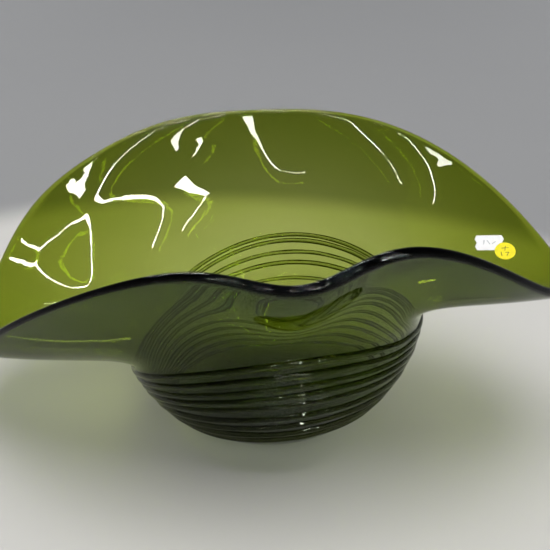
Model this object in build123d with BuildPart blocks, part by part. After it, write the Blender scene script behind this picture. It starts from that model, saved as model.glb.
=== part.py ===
"""Blown art glass bowl: a thick ball that opens into a wide, waved rim.

The ball stands on a small flat foot at the origin, +Z up.  Long axis of the rim is X.
Glass threads are wound round the ball, and two paper stickers sit inside the wall.
All sizes are in millimetres and degrees.
"""
from build123d import *
from math import acos, asin, cos, degrees, exp, pi, radians, sin, sqrt
import os

# ---- driving dimensions -------------------------------------------------------------
ball_radius = 126.8         # outside of the blown ball
foot_radius = 46.4          # flat that the ball stands on
rim_length = 497.0          # tip to tip, along the middle of the lip
rim_width = 320.0           # front to back, along the middle of the lip
rim_shift = -2.0            # middle of the rim, towards the left tip
rim_rise = 95.5             # front and back of the rim above the ball's centre
rim_droop = -23.0           # tips of the rim, below the ball's centre
rim_tilt = 8.5              # the whole rim leans: its left tip hangs lower
saddle_power = 2.6          # how late the rim turns down on its way to the tips
wall = 3.5                  # glass in the ball and at the neck
floor = 10.0                # glass over the middle of the foot
lip = 7.4                   # rounded, fire-polished edge
thickening = 1.4            # how late the glass thickens on its way from neck to lip

# waves left in the rim by the wooden paddle: height, angle round the rim, spread
rim_waves = [(23.0, 146, 20), (10.0, 116, 23), (-4.5, 238, 22),
             (-25.0, 279, 12), (10.0, 301, 21), (10.0, 345, 11)]

# where the lip is thicker or thinner: by how much, angle round the rim, spread
lip_waves = [(2.8, 282, 26), (-1.8, 228, 28)]

# the neck, where ball turns into flare, as a wave about the ball's centre:
# mean height, lean to the right, lean to the back, and how far it drops at both sides
neck_mean, neck_lean, neck_back, neck_drop = -18.0, 26.5, -6.0, -18.5

# how the flare leaves the neck and meets the rim, at front and back, left and right:
# pull out of the neck, pull into the lip, and climb of the lip in degrees
flare_front = (28.0, 45.0, 62.0)
flare_left = (6.0, 80.0, 17.0)
flare_right = (32.0, 75.0, 6.0)
flare_blend = 1.5           # how quickly the front's pull gives way to a side's

# threads, lowest first: place between foot (0) and neck (1), lean to the right,
# lean to the back, rise at both sides, and radius of the thread at the front as a share of
# the ball's shortest way from foot to neck, so that neighbours keep clear on any ball
threads = [(0.4075, 0.030, 0.005, 0.0425, 0.02916), (0.4838, 0.038, 0.003, 0.0363, 0.03149),
           (0.5588, 0.044, 0.003, 0.0313, 0.02799), (0.6312, 0.043, 0.003, 0.0238, 0.03499),
           (0.7112, 0.045, 0.003, 0.0138, 0.02916), (0.7838, 0.042, 0.022, 0.0063, 0.03615),
           (0.8445, 0.032, 0.029, 0.0055, 0.03149), (0.9098, 0.018, 0.033, -0.0018, 0.03499),
           (0.9672, 0.006, 0.018, 0.0008, 0.03382)]
thread_thinning = 0.35      # a thread's loss of radius at the back, where it was drawn out
thread_sink = 1.15          # how deep a thread has melted in, in shares of its radius

# stickers, on the inside wall at the right-hand back
sticker_angle = 24.4        # round the bowl, from the right tip
sticker_level = 1.80        # up the flare, from the neck (1) to the lip (2)
label_length = 24.5
label_height = 15.0
label_point = 1.6           # how far the label's cut ends stand out
dot_diameter = 17.5
dot_along, dot_down = 12.8, 8.6     # middle of the dot from the label's middle
label_rise = 0.8            # face of the label above the glass at its middle
dot_rise = 1.2              # face of the dot, which laps over the label

# ---- sizes that follow ----------------------------------------------------------------
ball_height = sqrt(ball_radius**2 - foot_radius**2)
foot_angle = asin(foot_radius / ball_radius)
right = Vector(cos(radians(rim_tilt)), 0, sin(radians(rim_tilt)))
back = Vector(0, 1, 0)
rise = Vector(-sin(radians(rim_tilt)), 0, cos(radians(rim_tilt)))
up = Vector(0, 0, 1)
ball_centre = Vector(0, 0, ball_height)
stations = 48               # points round each ring


def waves(bumps, angle):
    """Sum of smooth bumps round the rim: height, angle of the top and spread of each."""
    away = [(degrees(angle) - centre + 180) % 360 - 180 for _, centre, _ in bumps]
    return sum(height * exp(-(off / spread)**2) for (height, _, spread), off in zip(bumps, away))


def rim_plan(angle):
    """Reach to the right and to the back of the rim, seen along its own axis."""
    return rim_shift + rim_length / 2 * cos(angle), rim_width / 2 * sin(angle)


def rim_point(angle):
    """Middle of the lip: an ellipse bent into a saddle, with its waves."""
    along, across = rim_plan(angle)
    height = rim_rise - (rim_rise - rim_droop) * abs(cos(angle))**saddle_power
    height += waves(rim_waves, angle)
    return ball_centre + right * along + back * across + rise * height


def neck_angle(angle):
    """Angle of the neck up from the bottom of the ball."""
    height = (neck_mean + neck_lean * cos(angle) + neck_back * sin(angle)
              + neck_drop * cos(2 * angle))
    return acos(-height / ball_radius)


def ball_point(angle, climb, radius):
    """A point of the ball, climb being the angle up from its bottom."""
    outwards = Vector(cos(angle), sin(angle), 0)
    return ball_centre + outwards * (radius * sin(climb)) - up * (radius * cos(climb))


def skin(angle, level):
    """The bowl's guiding surface: foot edge at level 0, neck at 1, lip at 2."""
    neck = neck_angle(angle)
    if level <= 1:
        return ball_point(angle, foot_angle + (neck - foot_angle) * level, ball_radius)
    side = abs(cos(angle))**flare_blend
    to_right = (1 + cos(angle)) / 2
    pull_out, pull_in, climb = (
        front * (1 - side) + (near * (1 - to_right) + far * to_right) * side
        for front, near, far in zip(flare_front, flare_left, flare_right))
    start = ball_point(angle, neck, ball_radius)
    start_way = Vector(cos(angle), sin(angle), 0) * cos(neck) + up * sin(neck)
    along, across = rim_plan(angle)
    outwards = (right * along + back * across).normalized()
    end = rim_point(angle)
    end_way = outwards * cos(radians(climb)) + rise * sin(radians(climb))
    t = level - 1
    return (start * (1 - t)**3 + (start + start_way * pull_out) * (3 * (1 - t)**2 * t)
            + (end - end_way * pull_in) * (3 * (1 - t) * t**2) + end * t**3)


def skin_frame(angle, level):
    """Directions at a point of the skin: round the bowl, up the wall, and outwards."""
    step = 0.002
    low, high = (level - step, level) if level > 1 else (level, level + step)
    round_way = (skin(angle + step, level) - skin(angle - step, level)).normalized()
    wall_way = (skin(angle, high) - skin(angle, low)).normalized()
    return round_way, wall_way, round_way.cross(wall_way).normalized()


def lip_radius(angle):
    """Half the thickness of the lip."""
    return (lip + waves(lip_waves, angle)) / 2


def outside(angle, level):
    """Outer face of the glass."""
    thicker = lip_radius(angle) * max(0.0, level - 1)**thickening
    return skin(angle, level) + skin_frame(angle, level)[2] * thicker


def inside(angle, level):
    """Inner face of the glass, down to a small flat at the middle of the floor."""
    if level >= 1:
        share = (level - 1)**thickening
        depth = wall * (1 - share) + lip_radius(angle) * share
        return skin(angle, level) - skin_frame(angle, level)[2] * depth
    end_angle = radians(6)
    climb = end_angle + (neck_angle(angle) - end_angle) * level
    floor_depth = ball_radius - (ball_height - floor) - wall
    return ball_point(angle, climb, ball_radius - wall - floor_depth * (1 - level)**2)


def over_lip(angle, turn):
    """Rounded edge of the lip, from the outer face (-90) to the inner face (90)."""
    _, wall_way, outwards = skin_frame(angle, 2)
    swing = radians(turn)
    radius = lip_radius(angle)
    return (skin(angle, 2) + wall_way * (radius * cos(swing))
            - outwards * (radius * sin(swing)))


def ring(place, *position):
    """Closed wire round the bowl through place(angle, *position)."""
    points = [place(2 * pi * i / stations, *position) for i in range(stations)]
    return Wire([Edge.make_spline(points, periodic=True)])


def on_thread(angle, thread, turn):
    """Point of a thread's face; turn runs over its back from its lower to its upper edge."""
    place, lean, lean_back, bow, share = thread
    level = place + lean * cos(angle) + lean_back * sin(angle) + bow * cos(2 * angle)
    radius = share * shortest_way * (1 - thread_thinning * (1 + sin(angle)) / 2)
    _, wall_way, outwards = skin_frame(angle, level)
    height = radius * (1 - thread_sink)
    lowest = -asin(height / radius)
    swing = lowest + (pi - 2 * lowest) * turn
    return (skin(angle, level) - wall_way * (radius * cos(swing))
            + outwards * (height + radius * sin(swing)))


def sticker(outline, face):
    """A cut sticker on the inside wall: its outline, raised to face, less the glass."""
    with BuildPart() as blank:
        with BuildSketch(sticker_plane.offset(-wall / 2)):
            add(outline)
        extrude(amount=wall / 2 + face)
    return blank.part - bowl.part


# ---- bowl -------------------------------------------------------------------------------
ball_levels = [i / 8 for i in range(1, 9)]
flare_levels = [1.04, 1.08, 1.13, 1.19, 1.26, 1.34, 1.43, 1.52, 1.61, 1.70, 1.78, 1.85,
                1.91, 1.96]
lip_turns = range(-90, 91, 30)

with BuildPart() as bowl:
    rings = [Wire.make_circle(foot_radius)]
    rings += [ring(outside, level) for level in ball_levels + flare_levels]
    rings += [ring(over_lip, turn) for turn in lip_turns]
    rings += [ring(inside, level) for level in reversed(ball_levels + flare_levels)]
    rings.append(ring(inside, 0.0))
    add(Solid.make_loft(rings, ruled=True))
bowl.part.label = "bowl"

# ---- threads ----------------------------------------------------------------------------
lowest_neck = neck_mean - neck_lean + neck_drop
shortest_way = ball_radius * (acos(-lowest_neck / ball_radius) - asin(foot_radius / ball_radius))
thread_sides = 9
thread_parts = []
for number, thread in enumerate(threads, 1):
    rings = [ring(on_thread, thread, side / thread_sides) for side in range(thread_sides + 1)]
    faces = [Face.make_surface_from_curves(low, high)
             for low, high in zip(rings, rings[1:] + rings[:1])]
    with BuildPart() as thread_part:
        add(Solid(Shell(faces)))
    thread_part.part.label = f"thread_{number}"
    thread_parts.append(thread_part.part)

# ---- stickers ---------------------------------------------------------------------------
spot = inside(radians(sticker_angle), sticker_level)
facing = -skin_frame(radians(sticker_angle), sticker_level)[2]
sticker_plane = Plane(origin=spot, x_dir=Vector(1, 0, 0) - facing * facing.X, z_dir=facing)

with BuildSketch() as label_outline:
    with BuildLine():
        half, top = label_length / 2, label_height / 2
        Polyline((half - label_point, top), (half, top / 2), (half - label_point, 0),
                 (half, -top / 2), (half - label_point, -top))
        Line((half - label_point, -top), (label_point - half, -top))
        Polyline((label_point - half, -top), (-half, -top / 2), (label_point - half, 0),
                 (-half, top / 2), (label_point - half, top))
        Line((label_point - half, top), (half - label_point, top))
    make_face()

with BuildSketch() as dot_outline:
    with Locations((dot_along, -dot_down)):
        Circle(dot_diameter / 2)

with BuildPart() as price_label:
    add(sticker(label_outline.sketch, label_rise))
price_label.part.label = "price_label"

with BuildPart() as price_dot:
    add(sticker(dot_outline.sketch, dot_rise) - price_label.part)
price_dot.part.label = "price_dot"

# ---- write ------------------------------------------------------------------------------
os.makedirs("parts", exist_ok=True)
for part in [bowl.part, *thread_parts, price_label.part, price_dot.part]:
    export_step(part, f"parts/{part.label}.step")
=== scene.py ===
"""Blown art glass bowl: its glass, the threads wound round it, and its two stickers.

Sizes are in metres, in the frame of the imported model: origin under the foot, +Z up.
"""
from math import acos, asin, atan2, cos, degrees, exp, pi, radians, sin, sqrt
from random import Random

import bmesh
import bpy
from bpy.props import FloatProperty, FloatVectorProperty, IntProperty, PointerProperty
from mathutils import Matrix, Vector
from mathutils.noise import noise


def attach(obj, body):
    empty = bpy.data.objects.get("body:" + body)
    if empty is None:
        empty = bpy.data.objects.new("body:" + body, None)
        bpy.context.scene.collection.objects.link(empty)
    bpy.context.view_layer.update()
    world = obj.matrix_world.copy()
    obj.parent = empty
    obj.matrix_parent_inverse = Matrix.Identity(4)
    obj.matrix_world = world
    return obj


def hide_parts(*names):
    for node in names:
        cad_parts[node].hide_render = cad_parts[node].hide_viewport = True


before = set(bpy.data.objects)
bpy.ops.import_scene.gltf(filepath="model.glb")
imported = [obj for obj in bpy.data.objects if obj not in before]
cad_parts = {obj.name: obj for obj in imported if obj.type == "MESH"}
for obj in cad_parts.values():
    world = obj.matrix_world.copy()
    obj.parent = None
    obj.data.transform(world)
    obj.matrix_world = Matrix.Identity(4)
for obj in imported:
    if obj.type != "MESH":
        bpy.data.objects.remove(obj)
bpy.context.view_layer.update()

bl_info = {
    "name": "Art Glass Bowl",
    "version": (1, 0, 0),
    "blender": (4, 5, 0),
    "location": "View3D > Sidebar > Glass Bowl",
    "description": "Builds a blown glass bowl with a waved rim, wound threads and stickers",
    "category": "Add Mesh",
}

UP = Vector((0, 0, 1))

# waves left in the rim by the paddle: height, angle round the rim, spread
RIM_WAVES = ((0.023, 146, 20), (0.010, 116, 23), (-0.0045, 238, 22),
             (-0.025, 279, 12), (0.010, 301, 21), (0.010, 345, 11))

# height of the neck against the ball's centre: mean, lean right, lean back, drop at the sides
NECK = (-0.018, 0.0265, -0.006, -0.0185)

# the flare: pull out of the neck, pull into the lip, climb of the lip in degrees
FLARE_FRONT = (0.028, 0.045, 62.0)
FLARE_LEFT = (0.006, 0.080, 17.0)
FLARE_RIGHT = (0.032, 0.075, 6.0)

# where the lip is thicker or thinner: by how much, angle round the rim, spread
LIP_WAVES = ((0.0028, 282, 26), (-0.0018, 228, 28))

# threads, lowest first: place, lean right, lean back, rise at both sides, radius in front
THREADS = ((0.4075, 0.030, 0.005, 0.0425, 0.0025), (0.4838, 0.038, 0.003, 0.0363, 0.0027),
           (0.5588, 0.044, 0.003, 0.0313, 0.0024), (0.6312, 0.043, 0.003, 0.0238, 0.0030),
           (0.7112, 0.045, 0.003, 0.0138, 0.0025), (0.7838, 0.042, 0.022, 0.0063, 0.0031),
           (0.8445, 0.032, 0.029, 0.0055, 0.0027), (0.9098, 0.018, 0.033, -0.0018, 0.0030),
           (0.9672, 0.006, 0.018, 0.0008, 0.0029))

# tube lights under the ceiling: width, brightness, and their line seen from above
TUBES = (
    (0.022, 1.0, ((-1.06, -1.62), (-0.93, -1.72), (-0.75, -1.79), (-0.48, -1.69),
                  (-0.18, -1.52))),
    (0.035, 1.0, ((-0.18, -1.52), (0.11, -1.47), (0.31, -1.58), (0.61, -1.95))),
    (0.09, 1.0, ((0.61, -1.95), (1.01, -2.55), (1.38, -3.03), (1.86, -3.45), (2.25, -3.33),
                 (2.48, -2.85), (2.50, -2.10))),
    (0.24, 1.0, ((1.25, -3.75), (1.86, -4.91), (2.39, -6.60), (3.00, -7.00), (3.70, -6.70),
                 (3.95, -4.90))),
    (0.02, 0.9, ((-0.52, -1.02), (-0.41, -1.12), (-0.15, -1.29))),
    (0.02, 0.7, ((-0.19, -1.86), (0.02, -2.02), (0.34, -2.53))),
    (0.03, 0.8, ((0.25, -2.60), (0.36, -2.86), (0.60, -3.20))),
    (0.13, 0.7, ((-0.23, -2.70), (-0.19, -3.47), (-0.49, -4.62), (-1.03, -5.78), (-1.80, -7.04),
                 (-2.73, -7.50), (-2.93, -6.38))),
    (0.012, 0.6, ((-0.12, -1.14), (0.06, -1.02), (0.15, -0.93))),
)

TUBE_HEIGHT = 2.5
FLOOR_RADIUS = 14.0

# the camera: place, how far it looks down, how far it leans, and its lens in millimetres
CAMERA_PLACE = (0.0051, -0.9251, 0.5744)
CAMERA_PITCH, CAMERA_ROLL = radians(25.6), radians(2.8)
CAMERA_LENS = 82.3

# rings of the bowl up the outside of the ball, down its inside, and up the flare
BALL_RINGS, WELL_RINGS, FLARE_RINGS = 44, 30, 52
LIP_STEP = 12               # degrees from ring to ring over the lip
RIPPLE_SCALE = 22           # unevenness of the blown wall, in waves to the metre

# pen strokes on the stickers: start and end, in metres from the middle of each
LABEL_STROKES = (((-0.0050, -0.0012), (-0.0044, 0.0026)), ((-0.0018, 0.0024), (0.0002, -0.0010)),
                 ((0.0024, -0.0008), (0.0052, 0.0012)))
DOT_STROKES = (((-0.0026, 0.0030), (0.0030, 0.0036)), ((0.0006, 0.0050), (-0.0002, 0.0008)),
               ((-0.0034, -0.0010), (-0.0030, -0.0046)), ((0.0002, -0.0012), (0.0030, -0.0012)),
               ((0.0030, -0.0012), (0.0012, -0.0048)))


# ---- settings -------------------------------------------------------------------------

class BowlSettings(bpy.types.PropertyGroup):
    ball_radius: FloatProperty(
        name="Ball radius", description="Outside radius of the blown ball",
        default=0.1268, min=0.08, unit="LENGTH")
    foot_radius: FloatProperty(
        name="Foot radius", description="Radius of the flat that the bowl stands on",
        default=0.0464, min=0.01, unit="LENGTH")
    rim_length: FloatProperty(
        name="Rim length", description="Tip to tip along the middle of the lip",
        default=0.497, min=0.1, unit="LENGTH")
    rim_width: FloatProperty(
        name="Rim width", description="Front to back along the middle of the lip",
        default=0.320, min=0.1, unit="LENGTH")
    rim_shift: FloatProperty(
        name="Rim shift", description="Middle of the rim towards the right tip",
        default=-0.002, unit="LENGTH")
    rim_rise: FloatProperty(
        name="Rim rise", description="Front and back of the rim above the ball's centre",
        default=0.0955, unit="LENGTH")
    rim_droop: FloatProperty(
        name="Rim droop", description="Tips of the rim against the ball's centre",
        default=-0.023, unit="LENGTH")
    rim_tilt: FloatProperty(
        name="Rim tilt", description="Lean of the whole rim towards its left tip",
        default=radians(8.5), unit="ROTATION")
    saddle_power: FloatProperty(
        name="Saddle power", description="How late the rim turns down towards its tips",
        default=2.6, min=1.0)
    flare_blend: FloatProperty(
        name="Flare blend", description="How quickly the front's flare gives way to a side's",
        default=1.5, min=1.0)
    wall: FloatProperty(
        name="Wall", description="Glass in the ball and at the neck",
        default=0.0035, min=0.001, unit="LENGTH")
    floor: FloatProperty(
        name="Floor", description="Glass over the middle of the foot",
        default=0.010, min=0.002, unit="LENGTH")
    lip: FloatProperty(
        name="Lip", description="Thickness of the fire-polished edge",
        default=0.0070, min=0.001, unit="LENGTH")
    thickening: FloatProperty(
        name="Thickening", description="How late the glass thickens from neck to lip",
        default=1.4, min=1.0)
    ripple: FloatProperty(
        name="Ripple", description="Unevenness of the inner face left by blowing",
        default=0.00008, min=0.0, unit="LENGTH")
    stations: IntProperty(
        name="Stations", description="Points round each ring", default=288, min=24)
    glass: FloatVectorProperty(
        name="Glass", description="What the glass lets through",
        default=(0.628, 0.685, 0.02), subtype="COLOR", size=3, min=0.0, max=1.0)
    depth: FloatProperty(
        name="Depth of colour", description="How quickly the glass darkens with its thickness",
        default=520.0, min=0.0)


class ThreadSettings(bpy.types.PropertyGroup):
    sink: FloatProperty(
        name="Sink", description="How deep a thread has melted in, in shares of its radius",
        default=1.15, min=0.5, max=1.6)
    root: FloatProperty(
        name="Root", description="How far a thread's base lies inside the wall",
        default=0.0004, min=0.0, unit="LENGTH")
    thinning: FloatProperty(
        name="Thinning", description="A thread's loss of radius at the back of the bowl",
        default=0.35, min=0.0, max=0.9)
    wobble: FloatProperty(
        name="Wobble", description="How much a thread's thickness changes on its way round",
        default=0.16, min=0.0, max=0.5)
    depth: FloatProperty(
        name="Depth of colour", description="How quickly a thread darkens with its thickness",
        default=560.0, min=0.0)
    seed: IntProperty(
        name="Seed", description="Start of the threads' unevenness", default=7)


class StickerSettings(bpy.types.PropertyGroup):
    angle: FloatProperty(
        name="Angle", description="Place round the bowl from the right tip",
        default=radians(24.4), unit="ROTATION")
    level: FloatProperty(
        name="Level", description="Place up the flare, from the neck (1) to the lip (2)",
        default=1.80, min=1.0, max=2.0)
    label_length: FloatProperty(
        name="Label length", description="Length of the white label",
        default=0.0245, unit="LENGTH")
    label_height: FloatProperty(
        name="Label height", description="Height of the white label",
        default=0.015, unit="LENGTH")
    label_point: FloatProperty(
        name="Label point", description="How far the label's cut ends stand out",
        default=0.0016, unit="LENGTH")
    dot_diameter: FloatProperty(
        name="Dot diameter", description="Across the round sticker",
        default=0.0175, unit="LENGTH")
    dot_place: FloatVectorProperty(
        name="Dot place", description="Middle of the dot from the middle of the label",
        default=(0.0128, -0.0086), size=2, unit="LENGTH")
    paper: FloatProperty(
        name="Paper", description="Thickness of a sticker", default=0.00018, unit="LENGTH")
    white: FloatVectorProperty(
        name="White", description="Colour of the label",
        default=(0.86, 0.87, 0.88), subtype="COLOR", size=3, min=0.0, max=1.0)
    yellow: FloatVectorProperty(
        name="Yellow", description="Colour of the dot",
        default=(0.88, 0.78, 0.005), subtype="COLOR", size=3, min=0.0, max=1.0)


class StageSettings(bpy.types.PropertyGroup):
    # pale and grey paint a pool of light on the floor: pale where it is lit round the bowl, grey
    # where the light falls off
    pale: FloatVectorProperty(
        name="Pale", description="Floor round the bowl",
        default=(0.54, 0.535, 0.525), subtype="COLOR", size=3, min=0.0, max=1.0)
    grey: FloatVectorProperty(
        name="Grey", description="Floor further out",
        default=(0.245, 0.25, 0.26), subtype="COLOR", size=3, min=0.0, max=1.0)
    # radius of the painted pool of light
    pool: FloatProperty(
        name="Pool", description="Radius of the pale floor", default=0.46, unit="LENGTH")
    air: FloatVectorProperty(
        name="Air", description="Light from all round, low down",
        default=(0.22, 0.225, 0.235), subtype="COLOR", size=3, min=0.0, max=1.0)
    ceiling: FloatVectorProperty(
        name="Ceiling", description="Light from overhead, which the lip mirrors",
        default=(0.03, 0.032, 0.036), subtype="COLOR", size=3, min=0.0, max=1.0)
    soft: FloatProperty(
        name="Soft light", description="Strength of the large soft light",
        default=82.0, unit="POWER")
    fill: FloatProperty(
        name="Fill light", description="Strength of each low panel that lightens the shadows",
        default=22.0, unit="POWER")
    edge: FloatProperty(
        name="Edge light", description="Strength of the panel that the lip mirrors",
        default=44.0, unit="POWER")
    tubes: FloatProperty(
        name="Tubes", description="Brightness of the tube lights in the glass", default=85.0)


# ---- shape of the bowl ----------------------------------------------------------------

def waves(bumps, angle):
    """Sum of smooth bumps round the rim: height, angle of the top and spread of each."""
    away = [(degrees(angle) - place + 180) % 360 - 180 for _, place, _ in bumps]
    return sum(bump[0] * exp(-(off / bump[2])**2) for bump, off in zip(bumps, away))


class BowlShape:
    """The bowl's guiding surface and its two faces, as the CAD solid has them."""

    def __init__(self, settings):
        self.s = settings
        tilt = settings.rim_tilt
        self.right = Vector((cos(tilt), 0, sin(tilt)))
        self.back = Vector((0, 1, 0))
        self.rise = Vector((-sin(tilt), 0, cos(tilt)))
        self.height = sqrt(settings.ball_radius**2 - settings.foot_radius**2)
        self.centre = UP * self.height
        self.foot_angle = asin(settings.foot_radius / settings.ball_radius)
        self.columns = {}

    def column(self, angle):
        """What is the same all the way up the wall at this angle: its neck and its flare."""
        if angle in self.columns:
            return self.columns[angle]
        s = self.s
        across = Vector((cos(angle), sin(angle), 0))
        mean, lean, lean_back, drop = NECK
        neck = acos(-(mean + lean * cos(angle) + lean_back * sin(angle)
                      + drop * cos(2 * angle)) / s.ball_radius)
        side = abs(cos(angle))**s.flare_blend
        to_right = (1 + cos(angle)) / 2
        pull_out, pull_in, climb = (
            front * (1 - side) + (near * (1 - to_right) + far * to_right) * side
            for front, near, far in zip(FLARE_FRONT, FLARE_LEFT, FLARE_RIGHT))
        along = self.right * (s.rim_shift + s.rim_length / 2 * cos(angle))
        along += self.back * (s.rim_width / 2 * sin(angle))
        height = s.rim_rise - (s.rim_rise - s.rim_droop) * abs(cos(angle))**s.saddle_power
        height += waves(RIM_WAVES, angle)
        start = self.on_ball(across, neck, s.ball_radius)
        end = self.centre + along + self.rise * height
        start_way = across * cos(neck) + UP * sin(neck)
        end_way = along.normalized() * cos(radians(climb)) + self.rise * sin(radians(climb))
        self.columns[angle] = (across, neck, start, start + start_way * pull_out,
                               end - end_way * pull_in, end)
        return self.columns[angle]

    def on_ball(self, across, climb, radius):
        """Point of a ball of this radius, climb being the angle up from its bottom."""
        return self.centre + across * (radius * sin(climb)) - UP * (radius * cos(climb))

    def skin(self, angle, level):
        """Guiding surface: edge of the foot at level 0, neck at 1, middle of the lip at 2."""
        across, neck, start, out, inn, end = self.column(angle)
        if level <= 1:
            climb = self.foot_angle + (neck - self.foot_angle) * level
            return self.on_ball(across, climb, self.s.ball_radius)
        t = level - 1
        return (start * (1 - t)**3 + out * (3 * (1 - t)**2 * t)
                + inn * (3 * (1 - t) * t**2) + end * t**3)

    def directions(self, angle, level):
        """Up the wall, and outwards through it."""
        step = 0.002
        low, high = (level - step, level) if level > 1 else (level, level + step)
        round_way = self.skin(angle + step, level) - self.skin(angle - step, level)
        wall_way = (self.skin(angle, high) - self.skin(angle, low)).normalized()
        return wall_way, round_way.cross(wall_way).normalized()

    def lip_radius(self, angle):
        """Half the thickness of the lip."""
        return (self.s.lip + waves(LIP_WAVES, angle)) / 2

    def outside(self, angle, level):
        """Outer face of the glass."""
        thicker = self.lip_radius(angle) * max(0.0, level - 1)**self.s.thickening
        return self.skin(angle, level) + self.directions(angle, level)[1] * thicker

    def inside(self, angle, level):
        """Inner face of the glass, slightly uneven, down to the middle of the floor."""
        s = self.s
        across, neck, *_ = self.column(angle)
        if level >= 1:
            share = (level - 1)**s.thickening
            point = self.skin(angle, level)
            outwards = self.directions(angle, level)[1]
            depth = s.wall * (1 - share) + self.lip_radius(angle) * share
            depth += s.ripple * noise(point * RIPPLE_SCALE) * (1 - share)
            return point - outwards * depth
        lowest = radians(6)     # where the innermost ring lies, before the floor is closed
        climb = lowest + (neck - lowest) * level
        floor_depth = s.ball_radius - (self.height - s.floor) - s.wall
        radius = s.ball_radius - s.wall - floor_depth * (1 - level)**2
        radius -= s.ripple * noise(self.on_ball(across, climb, radius) * RIPPLE_SCALE)
        return self.on_ball(across, climb, radius)

    def over_lip(self, angle, turn):
        """Rounded edge of the lip, from the outer face (-90) to the inner face (90)."""
        wall_way, outwards = self.directions(angle, 2.0)
        swing = radians(turn)
        half = self.lip_radius(angle)
        return (self.skin(angle, 2.0) + wall_way * (half * cos(swing))
                - outwards * (half * sin(swing)))

    def on_thread(self, angle, thread, aside, off):
        """Point beside a thread's own line: aside up the wall, off away from it."""
        place, lean, lean_back, bow = thread
        level = place + lean * cos(angle) + lean_back * sin(angle) + bow * cos(2 * angle)
        wall_way, outwards = self.directions(angle, level)
        return self.skin(angle, level) + wall_way * aside + outwards * off

    def under_sticker(self, place, sheet, along, up):
        """Spot of the inner face under a point of the sheet, and the way out of the glass."""
        spot, x_way, y_way = sheet
        angle, level = place
        for _ in range(4):
            here = self.inside(angle, level)
            miss = Vector((along - (here - spot).dot(x_way), up - (here - spot).dot(y_way)))
            by_angle = self.inside(angle + 0.001, level) - here
            by_level = self.inside(angle, level - 0.001) - here
            grid = Matrix(((by_angle.dot(x_way), by_level.dot(x_way)),
                           (by_angle.dot(y_way), by_level.dot(y_way))))
            step = grid.inverted() @ miss
            angle += step.x * 0.001
            level -= step.y * 0.001
        return self.inside(angle, level), -self.directions(angle, level)[1]


def grow_ring(bm, edges, layer, place):
    """Extrudes a ring of edges and moves the new ring's points to place(angle)."""
    grown = bmesh.ops.extrude_edge_only(bm, edges=edges)["geom"]
    for vert in grown:
        if isinstance(vert, bmesh.types.BMVert):
            vert.co = place(vert[layer])
    return [e for e in grown if isinstance(e, bmesh.types.BMEdge) and e.is_boundary]


def first_ring(bm, stations, place):
    """Ring of edges whose points keep their angle round the bowl, and that layer."""
    layer = bm.verts.layers.float.new("station")
    ring = bmesh.ops.create_circle(bm, segments=stations, radius=1.0)["verts"]
    for vert in ring:
        vert[layer] = atan2(vert.co.y, vert.co.x)
        vert.co = place(vert[layer])
    return bm.edges[:], layer


def put(name, data):
    """New object for a mesh, a light or a camera, in the scene at the origin."""
    obj = bpy.data.objects.new(name, data)
    bpy.context.scene.collection.objects.link(obj)
    return obj


def meshed(name, bm, material):
    """New object from a bmesh, which is freed."""
    mesh = bpy.data.meshes.new(name)
    bm.to_mesh(mesh)
    bm.free()
    mesh.materials.append(material)
    return put(name, mesh)


def piece(name, bm, material, slot, *nodes, smooth=True):
    """Finished object from a bmesh: it rides on the bowl and stands for these CAD nodes."""
    bmesh.ops.recalc_face_normals(bm, faces=bm.faces[:])
    for face in bm.faces:
        face.smooth = smooth
    obj = meshed(name, bm, material)
    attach(obj, "root")
    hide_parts(*nodes)


# ---- materials ------------------------------------------------------------------------

class Value:
    """A node's output, used like a number in Python expressions."""

    def __init__(self, board, socket):
        self.board, self.socket = board, socket

    def maths(self, operation, *values):
        return self.board.node("ShaderNodeMath", {"operation": operation},
                               dict(enumerate(values)))

    def __add__(self, other):
        return self.maths("ADD", self, other)

    def __sub__(self, other):
        return self.maths("SUBTRACT", self, other)

    def __rsub__(self, other):
        return self.maths("SUBTRACT", other, self)

    def __mul__(self, other):
        return self.maths("MULTIPLY", self, other)

    def __truediv__(self, other):
        return self.maths("DIVIDE", self, other)

    def __pow__(self, other):
        return self.maths("POWER", self, other)

    def least(self, other):
        return self.maths("MINIMUM", self, other)

    def most(self, other):
        return self.maths("MAXIMUM", self, other)

    def steps(self, low, high):
        """0 below low and 1 above high, with a smooth way between."""
        return self.board.node("ShaderNodeMapRange", {"interpolation_type": "SMOOTHSTEP"},
                               {0: self, 1: low, 2: high, 3: 0.0, 4: 1.0})

    __radd__, __rmul__ = __add__, __mul__


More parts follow.
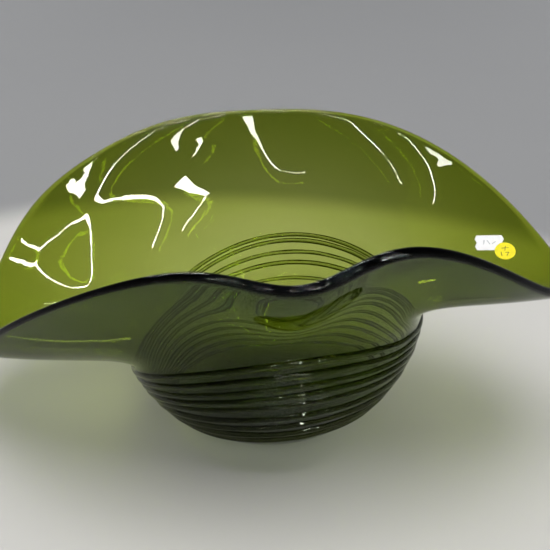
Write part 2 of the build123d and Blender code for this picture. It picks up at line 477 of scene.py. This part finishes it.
class Board:
    """The nodes of one material, or of the air round the object."""

    def __init__(self, name, shelf=None):
        self.material = (bpy.data.materials if shelf is None else shelf).new(name)
        self.material.use_nodes = True
        self.tree = self.material.node_tree
        self.tree.nodes.clear()

    def node(self, kind, settings, inputs, output=0):
        """New node with its settings, then the values or links of its sockets."""
        node = self.tree.nodes.new(kind)
        for name, value in settings.items():
            if name == "stops":
                for stop, (place, colour) in zip(node.color_ramp.elements, value):
                    stop.position, stop.color = place, (*colour, 1.0)
            else:
                setattr(node, name, value)
        for name, value in inputs.items():
            if isinstance(value, Value):
                self.tree.links.new(value.socket, node.inputs[name])
            else:
                node.inputs[name].default_value = value
        return Value(self, node.outputs[output])

    def point(self):
        return self.node("ShaderNodeTexCoord", {}, {}, "Object")

    def apart(self, vector):
        """The x, y and z of a vector."""
        node = self.node("ShaderNodeSeparateXYZ", {}, {"Vector": vector}).socket.node
        return [Value(self, socket) for socket in node.outputs]

    def noise(self, point, scale, detail=2.0, roughness=0.5):
        return self.node("ShaderNodeTexNoise", {}, {
            "Vector": point, "Scale": scale, "Detail": detail, "Roughness": roughness})

    def stretch(self, point, scale):
        return self.node("ShaderNodeMapping", {}, {"Vector": point, "Scale": scale})

    def mix(self, share, first, second):
        """From the first colour to the second."""
        first, second = ((*c, 1.0) if not isinstance(c, Value) else c for c in (first, second))
        return self.node("ShaderNodeMix", {"data_type": "RGBA"},
                         {0: share, 6: first, 7: second}, 2)

    def bump(self, height, distance, strength=1.0):
        return self.node("ShaderNodeBump", {}, {
            "Height": height, "Distance": distance, "Strength": strength})

    def finish(self, inputs, volume=None):
        """Principled surface, with glass that may absorb, and the output."""
        surface = self.node("ShaderNodeBsdfPrincipled", {}, inputs)
        ends = {"Surface": surface}
        if volume:
            ends["Volume"] = self.node("ShaderNodeVolumeAbsorption", {}, volume)
        out = self.tree.nodes.new("ShaderNodeOutputMaterial")
        for name, value in ends.items():
            self.tree.links.new(value.socket, out.inputs[name])
        return self.material


def blown_glass(name, colour, density, streak, shine):
    """Fire-polished olive glass: drawn out in faint streaks, with painted shade darkening it at
    the front left.
    """
    board = Board(name)
    point = board.point()
    x, y, _ = board.apart(point)
    drawn = board.noise(board.stretch(point, (1.0, 1.0, 3.4)), streak, 3.0)
    smear = board.noise(point, 34.0, 5.0, 0.62).steps(0.56, 0.80)
    ripple = board.noise(board.stretch(point, (1.0, 1.0, 1.6)), 26.0, 1.0, 0.3)
    clear = board.mix(drawn.steps(0.35, 0.65), (0.985, 1.0, 0.95), (0.93, 0.97, 0.86))
    # painted shade: the base colour darkens towards (0.46, 0.50, 0.34) at the front left, standing
    # in for less reflected light there
    painted_shade_front_left = (0.0 - y).steps(0.02, 0.12) * (0.12 - x).steps(0.0, 0.22)
    return board.finish({
        "Base Color": board.mix(painted_shade_front_left * 0.9, clear, (0.46, 0.50, 0.34)),
        "Roughness": smear * 0.006,
        "Normal": board.bump(ripple, 0.0003, 0.3),
        "Transmission Weight": 1.0,
        "IOR": 1.47,
        "Specular Tint": (shine, shine, shine * 0.9, 1.0),
    }, {"Color": (*colour, 1.0), "Density": density})


def stroke_distance(board, x, y, start, end):
    """Distance from a point of the sheet to a straight pen stroke."""
    (x0, y0), (x1, y1) = start, end
    dx, dy = x1 - x0, y1 - y0
    share = ((x - x0) * dx + (y - y0) * dy) / (dx * dx + dy * dy)
    share = share.most(0.0).least(1.0)
    return ((x - x0 - share * dx)**2.0 + (y - y0 - share * dy)**2.0)**0.5


def sticker_paper(name, colour, dirt, ink, strokes):
    """Coated paper with fine fibres, rubbed a little, and a few worn pen strokes."""
    board = Board(name)
    sheet = board.node("ShaderNodeUVMap", {"uv_map": "sheet"}, {})
    x, y, _ = board.apart(sheet)
    point = board.point()
    fibre = board.noise(board.stretch(point, (1.0, 0.35, 1.0)), 1900.0, 6.0, 0.7)
    rubbed = board.noise(point, 210.0, 4.0, 0.6).steps(0.50, 0.72)
    shake = (board.noise(point, 480.0, 2.0) - 0.5) * 0.0009
    nearest = None
    for start, end in strokes:
        away = stroke_distance(board, x + shake, y - shake, start, end)
        nearest = away if nearest is None else nearest.least(away)
    pen = (1 - nearest.steps(0.00020, 0.00050)) * fibre.steps(0.30, 0.52)
    paper = board.mix(fibre.steps(0.3, 0.7) * 0.35 + rubbed * 0.4, colour, dirt)
    return board.finish({
        "Base Color": board.mix(pen * 0.85, paper, ink),
        "Roughness": 0.62 + fibre * 0.2 - rubbed * 0.08,
        "Normal": board.bump(fibre, 0.00006, 0.6),
        "Specular IOR Level": 0.35,
    })


def studio_floor(stage):
    """Matt floor with a painted pool of light: pale round the bowl, falling off to grey away from
    it.
    """
    board = Board("studio_floor")
    point = board.point()
    away = board.node("ShaderNodeVectorMath", {"operation": "LENGTH"}, {0: point}, "Value")
    grain = board.noise(point, 45.0, 5.0, 0.6)
    cloud = board.noise(point, 1.7, 3.0, 0.5)
    # painted pool of light: the floor goes from pale to grey past the pool's radius
    share = away.steps(stage.pool, stage.pool + 0.08)
    tone = board.mix(share, tuple(stage.pale), tuple(stage.grey))
    return board.finish({
        "Base Color": board.mix(grain * 0.05 + cloud * 0.10, tone, (0.42, 0.42, 0.41)),
        "Roughness": 0.80 + grain * 0.1,
        "Specular IOR Level": 0.15,
        "Normal": board.bump(grain, 0.0002, 0.15),
    })


# ---- pieces ---------------------------------------------------------------------------

class BlownBowl(bpy.types.Operator):
    """Blows the bowl: ball, neck, flare and rounded lip in one closed wall of glass"""
    bl_idname = "glass_bowl.blown_bowl"
    bl_label = "Blown bowl"

    def execute(self, context):
        settings = context.scene.blown_bowl
        shape = BowlShape(settings)
        ball = [i / BALL_RINGS for i in range(1, BALL_RINGS + 1)]
        flare = [1 + i / FLARE_RINGS for i in range(1, FLARE_RINGS)]
        well = [i / WELL_RINGS for i in range(WELL_RINGS + 1)]
        bm = bmesh.new()
        edges, layer = first_ring(bm, settings.stations, lambda angle: shape.on_ball(
            Vector((cos(angle), sin(angle), 0)), shape.foot_angle, settings.ball_radius)
            * 0.985)
        foot = edges
        for level in [0.004] + ball + flare:
            edges = grow_ring(bm, edges, layer, lambda angle: shape.outside(angle, level))
        for turn in range(-90, 91, LIP_STEP):
            edges = grow_ring(bm, edges, layer, lambda angle: shape.over_lip(angle, turn))
        for level in reversed(well + flare):
            edges = grow_ring(bm, edges, layer, lambda angle: shape.inside(angle, level))
        for rim in (foot, edges):
            cap = bmesh.ops.holes_fill(bm, edges=rim, sides=0)["faces"]
            bmesh.ops.poke(bm, faces=cap)
        bmesh.ops.remove_doubles(bm, verts=bm.verts[:], dist=1e-7)
        # the bowl's glass has painted shade darkening it at the front left
        glass = blown_glass("blown_glass", settings.glass, settings.depth, 7.0, 0.45)
        piece("bowl_glass", bm, glass, "bowl_glass", "bowl")
        return {"FINISHED"}


class WoundThreads(bpy.types.Operator):
    """Winds the hot glass threads round the ball and melts them in"""
    bl_idname = "glass_bowl.wound_threads"
    bl_label = "Wound threads"

    def execute(self, context):
        settings, winding = context.scene.blown_bowl, context.scene.wound_threads
        shape = BowlShape(settings)
        # the threads' glass has the same painted shade at the front left
        glass = blown_glass("thread_glass", settings.glass, winding.depth, 19.0, 0.4)
        chance = Random(winding.seed)
        for number, (*line, radius) in enumerate(THREADS, 1):
            shift = Vector((chance.uniform(0, 50), chance.uniform(0, 50), 0))
            low = radius * (1 - winding.sink)
            crown = [radians(15 + 12.5 * i) for i in range(13)]
            section = [(-1.13 * radius, -0.03 * radius), (-1.04 * radius, 0.02 * radius)]
            section += [(-radius * cos(a), low + radius * sin(a)) for a in crown]
            section += [(1.04 * radius, 0.02 * radius), (1.13 * radius, -0.03 * radius)]
            section += [(share * radius, -winding.root) for share in (1.0, 0.33, -0.33, -1.0)]

            def place(angle, aside, off):
                there = Vector((cos(angle), sin(angle), 0)) * 1.6 + shift
                thick = 1 - winding.thinning * (1 + sin(angle)) / 2
                thick *= 1 + winding.wobble * noise(there * 1.7)
                if off < 0:
                    return shape.on_thread(angle, line, aside * thick, off)
                sway = 0.25 * radius * noise(there * 3.1 + UP * 9)
                return shape.on_thread(angle, line, aside * thick + sway, off * thick)

            bm = bmesh.new()
            edges, layer = first_ring(bm, settings.stations,
                                      lambda angle: place(angle, *section[0]))
            start = edges
            for spot in section[1:]:
                edges = grow_ring(bm, edges, layer, lambda angle: place(angle, *spot))
            bmesh.ops.bridge_loops(bm, edges=start + edges)
            piece(f"thread_glass_{number}", bm, glass, "thread_glass", f"thread_{number}")
        return {"FINISHED"}


class Stickers(bpy.types.Operator):
    """Sticks the white label and the yellow dot on the inside of the wall"""
    bl_idname = "glass_bowl.stickers"
    bl_label = "Stickers"

    def execute(self, context):
        settings, cut = context.scene.blown_bowl, context.scene.stickers
        shape = BowlShape(settings)
        spot = shape.inside(cut.angle, cut.level)
        facing = -shape.directions(cut.angle, cut.level)[1]
        x_way = (Vector((1, 0, 0)) - facing * facing.x).normalized()
        sheet = spot, x_way, facing.cross(x_way)
        half, top = cut.label_length / 2, cut.label_height / 2

        def stick(bm, middle, lift):
            """Lays a flat shape on the glass, and makes it as thick as the paper."""
            layer = bm.loops.layers.uv.new("sheet")
            for face in bm.faces:
                for loop in face.loops:
                    loop[layer].uv = loop.vert.co.xy
            flat = {v: v.co.copy() for v in bm.verts}
            made = bmesh.ops.extrude_face_region(bm, geom=bm.faces[:])["geom"]
            upper = {v for v in made if isinstance(v, bmesh.types.BMVert)}
            for vert in bm.verts:
                x, y = vert.co.x + middle[0], vert.co.y + middle[1]
                under, out = shape.under_sticker((cut.angle, cut.level), sheet, x, y)
                off = 0.00005 + lift(x, y) + (cut.paper if vert in upper else 0.0)
                vert.co = under + out * off

        def over_label(x, y):
            edge = min(half - abs(x), top - abs(y)) / 0.0007 + 0.5
            return (cut.paper + 0.00004) * min(1.0, max(0.0, edge))

        bm = bmesh.new()
        bmesh.ops.create_grid(bm, x_segments=24, y_segments=16, size=1.0)
        for vert in bm.verts:
            cut_back = cut.label_point * abs(2 * abs(vert.co.y) - 1)
            vert.co.x *= half - cut_back
            vert.co.y *= top
        stick(bm, (0.0, 0.0), lambda x, y: 0.0)
        white = sticker_paper("white_paper", cut.white, (0.74, 0.74, 0.72), (0.30, 0.33, 0.36),
                              LABEL_STROKES)
        piece("label_paper", bm, white, "label_paper", "price_label", smooth=False)

        bm = bmesh.new()
        radius = cut.dot_diameter / 2
        bmesh.ops.create_circle(bm, cap_ends=True, segments=72, radius=radius)
        middle = bm.faces[:]
        for _ in range(9):
            bmesh.ops.inset_region(bm, faces=middle, thickness=radius / 10)
        bmesh.ops.poke(bm, faces=middle)
        stick(bm, cut.dot_place, over_label)
        yellow = sticker_paper("yellow_paper", cut.yellow, (0.72, 0.62, 0.02),
                               (0.07, 0.06, 0.02), DOT_STROKES)
        piece("dot_paper", bm, yellow, "dot_paper", "price_dot", smooth=False)
        return {"FINISHED"}


class Studio(bpy.types.Operator):
    """Lays the floor, hangs the lights and places the camera"""
    bl_idname = "glass_bowl.studio"
    bl_label = "Studio"

    def lamp(self, name, place, size, power, colour=(1.0, 1.0, 1.0)):
        """Flat lamp that faces down."""
        light = bpy.data.lights.new(name, "AREA")
        light.shape = "RECTANGLE"
        light.size, light.size_y = size
        light.energy = power
        light.color = colour
        obj = put(name, light)
        obj.location = place
        obj.visible_camera = False
        return obj

    def tubes(self, strength):
        """Bent tube lights that show only as lines of light in the glass."""
        for number, (width, share, line) in enumerate(TUBES, 1):
            points = [Vector((x, y, TUBE_HEIGHT)) for x, y in line]
            ways = [(b - a).normalized() for a, b in zip(points, points[1:])]
            turns = [ways[0]] + [(a + b).normalized() for a, b in zip(ways, ways[1:])] + [ways[-1]]
            sides = [UP.cross(way) * (width / 2) for way in turns]
            bm = bmesh.new()
            ends = [bm.verts.new(points[0] + sides[0]), bm.verts.new(points[0] - sides[0])]
            edges = [bm.edges.new(ends)]
            for point, side in zip(points[1:], sides[1:]):
                made = bmesh.ops.extrude_edge_only(bm, edges=edges)["geom"]
                ends = [v for v in made if isinstance(v, bmesh.types.BMVert)]
                edges = [e for e in made if isinstance(e, bmesh.types.BMEdge)
                         and set(e.verts) == set(ends)]
                left = max(ends, key=lambda v: v.co.dot(side))
                for end in ends:
                    end.co = point + side if end is left else point - side
            board = Board(f"tube_light_{number}")
            glow = board.node("ShaderNodeEmission", {}, {"Strength": strength * share})
            out = board.tree.nodes.new("ShaderNodeOutputMaterial")
            board.tree.links.new(glow.socket, out.inputs["Surface"])
            tube = meshed(f"tube_{number}", bm, board.material)
            tube.visible_camera = tube.visible_diffuse = tube.visible_shadow = False

    def execute(self, context):
        stage = context.scene.studio
        bm = bmesh.new()
        bmesh.ops.create_circle(bm, cap_ends=True, segments=96, radius=FLOOR_RADIUS)
        bmesh.ops.translate(bm, verts=bm.verts[:], vec=(0, 0, -0.0004))
        meshed("floor", bm, studio_floor(stage))

        soft = self.lamp("soft_light", (0.0, -0.3, 2.8), (2.6, 2.2), stage.soft,
                         (1.0, 0.985, 0.96))
        soft.visible_glossy = False
        for number in range(4):
            turn = radians(45 + 90 * number)
            fill = self.lamp(f"fill_light_{number + 1}",
                             (2.4 * cos(turn), 2.4 * sin(turn), 0.75), (2.4, 1.2), stage.fill)
            fill.rotation_euler = (radians(72), 0.0, turn + pi / 2)
            fill.visible_glossy = fill.visible_transmission = False
        edge = self.lamp("edge_light", (-0.95, 1.75, 2.3), (1.7, 0.24), stage.edge)
        edge.rotation_euler = (radians(-40), 0.0, 0.0)
        edge.visible_diffuse = edge.visible_transmission = False
        self.tubes(stage.tubes)

        board = Board("studio_air", bpy.data.worlds)
        way = board.node("ShaderNodeTexCoord", {}, {}, "Generated")
        climb = board.apart(way)[2]
        tone = board.node("ShaderNodeValToRGB", {"stops": (
            (0.02, tuple(stage.air)), (0.75, tuple(stage.ceiling)))}, {"Fac": climb})
        glow = board.node("ShaderNodeBackground", {}, {"Color": tone})
        out = board.tree.nodes.new("ShaderNodeOutputWorld")
        board.tree.links.new(glow.socket, out.inputs["Surface"])
        context.scene.world = board.material

        camera = bpy.data.cameras.new("camera")
        camera.sensor_width, camera.lens = 36.0, CAMERA_LENS
        level_right = Vector((1, 0, 0))
        level_up = Vector((0, sin(CAMERA_PITCH), cos(CAMERA_PITCH)))
        right = level_right * cos(CAMERA_ROLL) + level_up * sin(CAMERA_ROLL)
        up = level_up * cos(CAMERA_ROLL) - level_right * sin(CAMERA_ROLL)
        turn = Matrix((right, up, right.cross(up))).transposed()
        obj = put("camera", camera)
        obj.matrix_world = Matrix.Translation(CAMERA_PLACE) @ turn.to_4x4()
        context.scene.camera = obj
        context.scene.view_settings.view_transform = "Standard"
        return {"FINISHED"}


class BowlPanel(bpy.types.Panel):
    bl_label = "Glass Bowl"
    bl_idname = "VIEW3D_PT_glass_bowl"
    bl_space_type = "VIEW_3D"
    bl_region_type = "UI"
    bl_category = "Glass Bowl"

    def draw(self, context):
        for operator, group in BUTTONS:
            box = self.layout.box()
            settings = getattr(context.scene, group)
            for name in settings.__annotations__:
                box.prop(settings, name)
            box.operator(operator.bl_idname)


BUTTONS = ((BlownBowl, "blown_bowl"), (WoundThreads, "wound_threads"),
           (Stickers, "stickers"), (Studio, "studio"))
GROUPS = (BowlSettings, ThreadSettings, StickerSettings, StageSettings)


def register():
    for cls in (*GROUPS, BlownBowl, WoundThreads, Stickers, Studio, BowlPanel):
        bpy.utils.register_class(cls)
    for (_, name), group in zip(BUTTONS, GROUPS):
        setattr(bpy.types.Scene, name, PointerProperty(type=group))


def unregister():
    for _, name in BUTTONS:
        delattr(bpy.types.Scene, name)
    for cls in (BowlPanel, Studio, Stickers, WoundThreads, BlownBowl, *reversed(GROUPS)):
        bpy.utils.unregister_class(cls)


def main():
    register()
    bpy.ops.glass_bowl.blown_bowl()
    bpy.ops.glass_bowl.wound_threads()
    bpy.ops.glass_bowl.stickers()
    bpy.ops.glass_bowl.studio()


if __name__ == "__main__":
    main()
